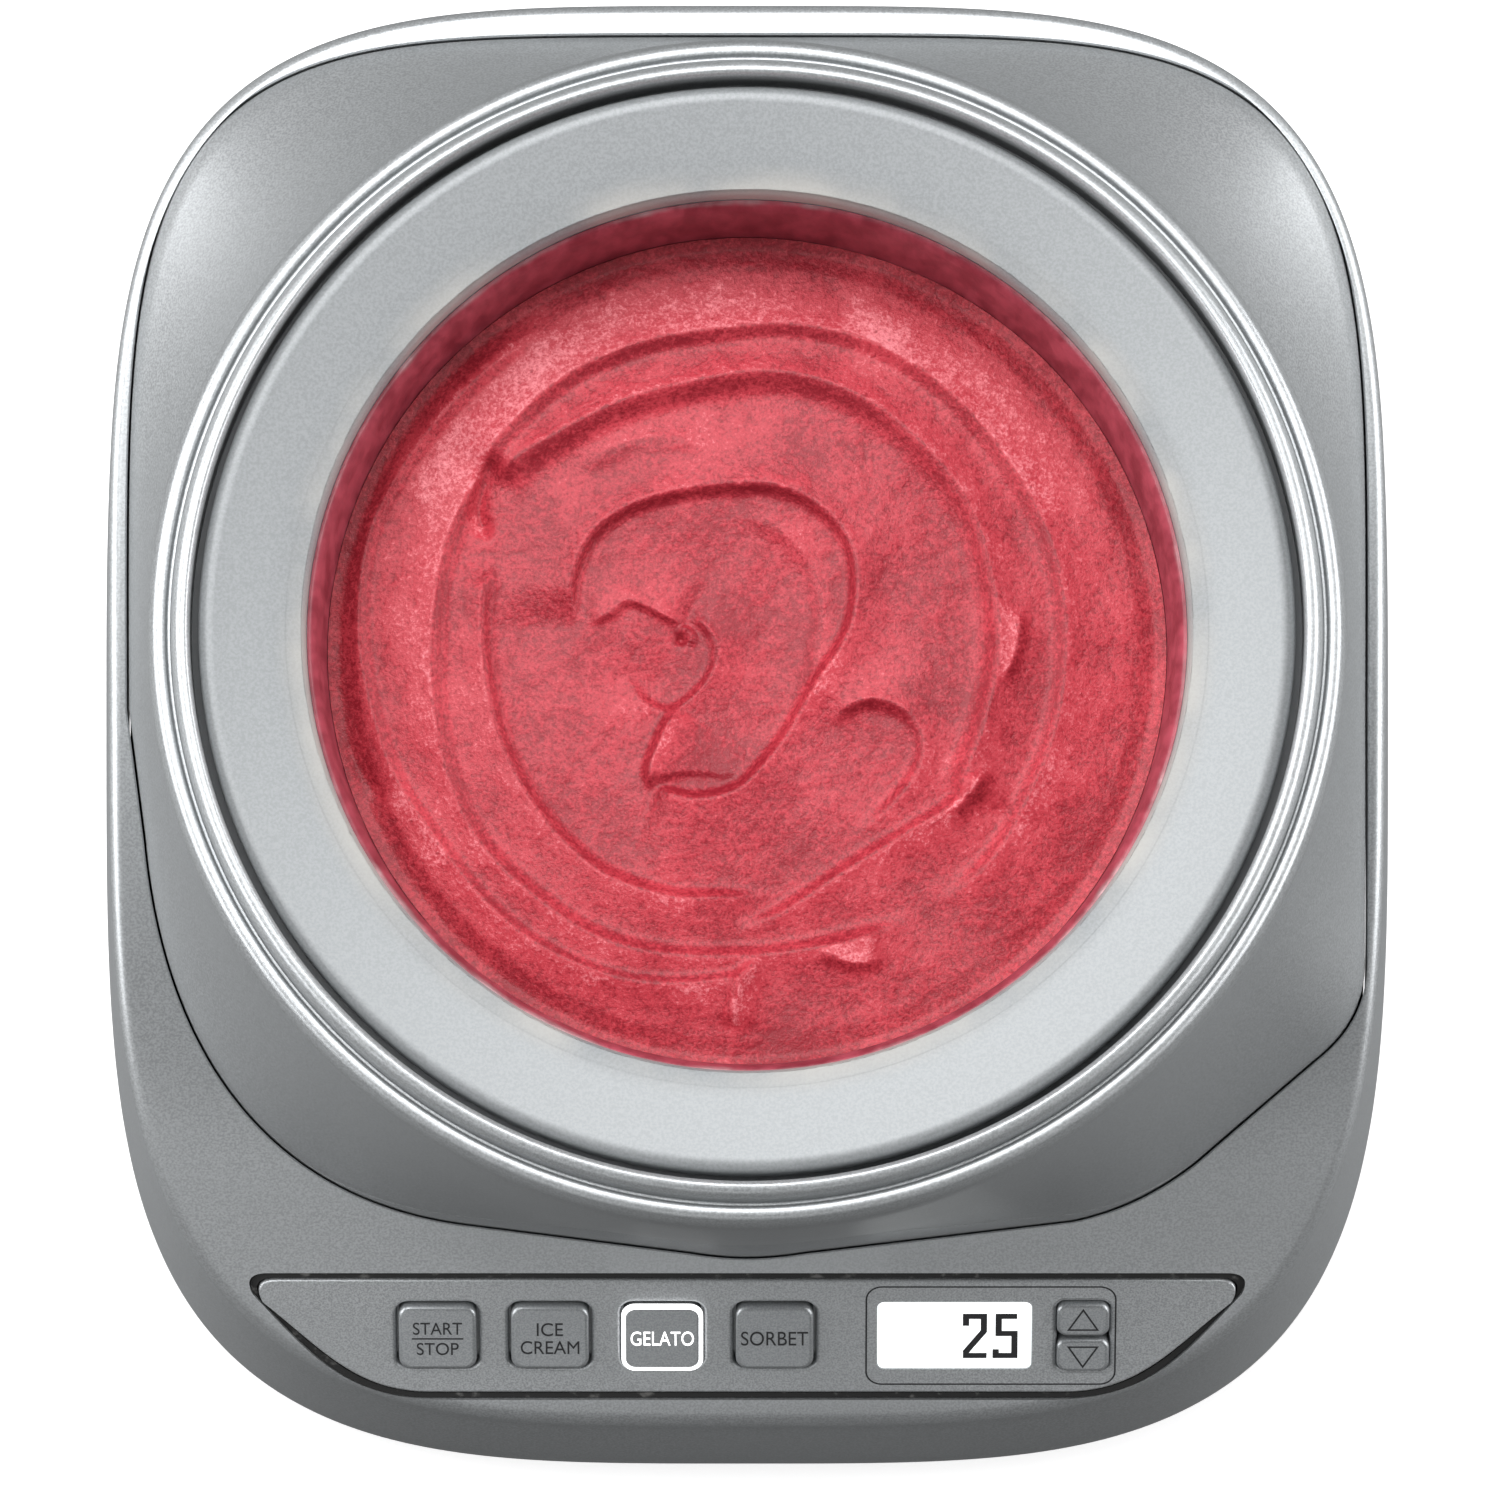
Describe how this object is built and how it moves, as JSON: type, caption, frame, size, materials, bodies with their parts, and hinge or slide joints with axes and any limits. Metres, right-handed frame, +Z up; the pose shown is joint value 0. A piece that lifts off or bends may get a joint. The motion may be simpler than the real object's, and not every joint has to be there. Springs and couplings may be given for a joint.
{
  "type": "ice cream maker",
  "caption": "Electronic countertop ice cream maker with a turning freezer bowl, a geared motor below it and a sloping panel with keys and a display.",
  "frame": {"origin": "On the table under the bowl's turning axis, which is the middle of the bounding box's bottom.", "axes": "+Z up along the bowl's axis, +Y to the back, -Y toward the user and the control panel, +X to the user's right."},
  "size_m": [0.232, 0.2476, 0.225],
  "materials": {
    "housing_paint": "satin silver metallic paint on moulded plastic",
    "rim_paint": "light satin silver paint",
    "fascia_paint": "satin grey metallic paint",
    "button_paint": "satin grey metallic paint",
    "black_moulding": "matt black moulding",
    "well_moulding": "grey moulding",
    "bowl_moulding": "off-white moulding",
    "hub_moulding": "glass-filled nylon",
    "rubber_black": "matt black rubber",
    "liner_aluminium": "satin aluminium",
    "steel": "bright zinc-plated steel",
    "lamination": "stamped lamination stack",
    "brass": "sintered bronze or brass",
    "nylon": "natural nylon",
    "copper": "enamelled copper winding, taped",
    "board": "green solder mask",
    "transformer": "taped transformer",
    "relay": "blue relay case",
    "clear_cover": "clear acrylic",
    "display": "white back-lit liquid crystal display",
    "lamp": "white light-emitting diode",
    "gel": "frozen coolant gel",
    "sorbet": "raspberry-red sorbet"
  },
  "bodies": {
    "base": {"deck_shell": "housing_paint", "tower_shell": "housing_paint", "rim_ring": "housing_paint", "panel_fascia": "fascia_paint", "base_pan": "black_moulding", "bowl_well": "well_moulding", "foot_front_left": "rubber_black", "foot_front_right": "rubber_black", "foot_back_left": "rubber_black", "foot_back_right": "rubber_black", "panel_gasket": "rubber_black", "keypad_mat": "rubber_black", "shaft_seal": "rubber_black", "cord_bush": "rubber_black", "base_screw_1": "steel", "base_screw_2": "steel", "base_screw_3": "steel", "base_screw_4": "steel", "plate_screw_1": "steel", "plate_screw_2": "steel", "plate_screw_3": "steel", "motor_screw_1": "steel", "motor_screw_2": "steel", "motor_plate": "steel", "motor_end_cap": "steel", "idler_axle": "steel", "motor_stator": "lamination", "motor_bearing": "brass", "output_bearing": "brass", "motor_coil_upper": "copper", "motor_coil_lower": "copper", "control_board": "board", "power_board": "board", "transformer": "transformer", "motor_relay": "relay", "display_window": "clear_cover", "lcd_module": "display", "ice_cream_lamp": "lamp", "gelato_lamp": "lamp", "sorbet_lamp": "lamp"},
    "turntable": {"output_gear": "nylon", "output_shaft": "steel", "shaft_clip": "steel", "drive_hub": "hub_moulding"},
    "idler": {"idler_gear": "nylon"},
    "rotor": {"motor_rotor": "steel", "motor_pinion": "brass"},
    "bowl": {"bowl_rim": "rim_paint", "bowl_liner": "liner_aluminium", "bowl_outer": "bowl_moulding", "coolant_fill": "gel", "bowl_seal": "rubber_black", "bowl_base_cap": "bowl_moulding", "sorbet": "sorbet"},
    "start_stop_button": {"start_stop_button": "button_paint"},
    "ice_cream_button": {"ice_cream_button": "button_paint"},
    "gelato_button": {"gelato_button": "button_paint"},
    "sorbet_button": {"sorbet_button": "button_paint"},
    "time_up_button": {"time_up_button": "button_paint"},
    "time_down_button": {"time_down_button": "button_paint"}
  },
  "joints": [
    {"name": "turntable_spin", "type": "hinge", "parent": "base", "child": "turntable", "pos_m": [0, 0, 0.05], "axis": [0, 0, 1], "continuous": true},
    {"name": "idler_spin", "type": "hinge", "parent": "base", "child": "idler", "pos_m": [-0.04018, -0.0232, 0.048], "axis": [0, 0, 1], "continuous": true},
    {"name": "rotor_spin", "type": "hinge", "parent": "base", "child": "rotor", "pos_m": [-0.01556, -0.02754, 0.03], "axis": [0, 0, 1], "continuous": true},
    {"name": "bowl_lift", "type": "slide", "parent": "turntable", "child": "bowl", "axis": [0, 0, 1], "range_m": [0, 0.18]},
    {"name": "start_stop_press", "type": "slide", "parent": "base", "child": "start_stop_button", "axis": [0, 0.6691, -0.7431], "range_m": [0, 0.0008], "stiffness_N_per_m": 900},
    {"name": "ice_cream_press", "type": "slide", "parent": "base", "child": "ice_cream_button", "axis": [0, 0.6691, -0.7431], "range_m": [0, 0.0008], "stiffness_N_per_m": 900},
    {"name": "gelato_press", "type": "slide", "parent": "base", "child": "gelato_button", "axis": [0, 0.6691, -0.7431], "range_m": [0, 0.0008], "stiffness_N_per_m": 900},
    {"name": "sorbet_press", "type": "slide", "parent": "base", "child": "sorbet_button", "axis": [0, 0.6691, -0.7431], "range_m": [0, 0.0008], "stiffness_N_per_m": 900},
    {"name": "time_up_press", "type": "slide", "parent": "base", "child": "time_up_button", "axis": [0, 0.6691, -0.7431], "range_m": [0, 0.0008], "stiffness_N_per_m": 900},
    {"name": "time_down_press", "type": "slide", "parent": "base", "child": "time_down_button", "axis": [0, 0.6691, -0.7431], "range_m": [0, 0.0008], "stiffness_N_per_m": 900}
  ],
  "couplings": [
    {"joint": "idler_spin", "follows": "turntable_spin", "ratio": -4.8},
    {"joint": "rotor_spin", "follows": "turntable_spin", "ratio": 19.2}
  ]
}
